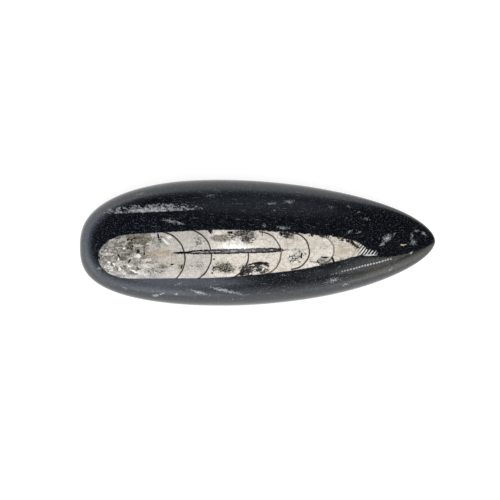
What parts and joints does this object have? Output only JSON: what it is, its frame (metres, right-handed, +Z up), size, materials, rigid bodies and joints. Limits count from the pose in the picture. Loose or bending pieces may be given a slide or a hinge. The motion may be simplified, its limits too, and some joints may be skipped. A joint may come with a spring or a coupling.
{
  "type": "orthoceras fossil",
  "caption": "Polished teardrop of black limestone with a pale chambered cone fossil flush in its domed top, lying on a flat lapped underside.",
  "frame": {"origin": "middle of the footprint, on the surface the stone lies on", "axes": "+X along the stone and the fossil, from the blunt end to the tip; +Y to the back edge; +Z up through the domed, fossil-bearing top"},
  "size_m": [0.1, 0.0356, 0.02],
  "materials": {
    "polished_limestone": "hand-polished black limestone, semi-gloss, with a cream calcite fossil and white calcite flecks flush in its top"
  },
  "bodies": {
    "root": {"fossil_stone": "polished_limestone"}
  },
  "joints": []
}
